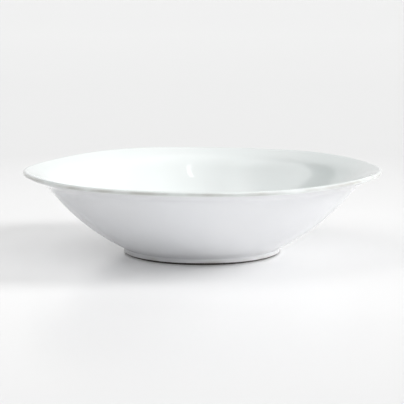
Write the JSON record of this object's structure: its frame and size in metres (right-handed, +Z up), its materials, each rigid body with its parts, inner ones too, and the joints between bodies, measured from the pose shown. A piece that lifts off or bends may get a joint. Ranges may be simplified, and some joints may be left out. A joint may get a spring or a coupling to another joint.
{
  "type": "serving bowl",
  "caption": "Low round serving bowl of white glazed ceramic with a curved wall, a flared rim with a rounded lip, and a foot ring that it stands on.",
  "frame": {"origin": "centre of the foot ring's bearing face, on the table under the middle of the bowl", "axes": "+Z up along the bowl's axis; X and Y are level and alike"},
  "size_m": [0.33, 0.33, 0.0785],
  "materials": {
    "clay": "bare fired stoneware clay, dark grey-brown, matte",
    "glaze": "clear glossy white glaze"
  },
  "bodies": {
    "root": {"bowl_body": "clay", "foot_ring": "clay", "slip_seam": "clay", "inside_glaze": "glaze", "outside_glaze": "glaze", "foot_well_glaze": "glaze"}
  },
  "joints": []
}
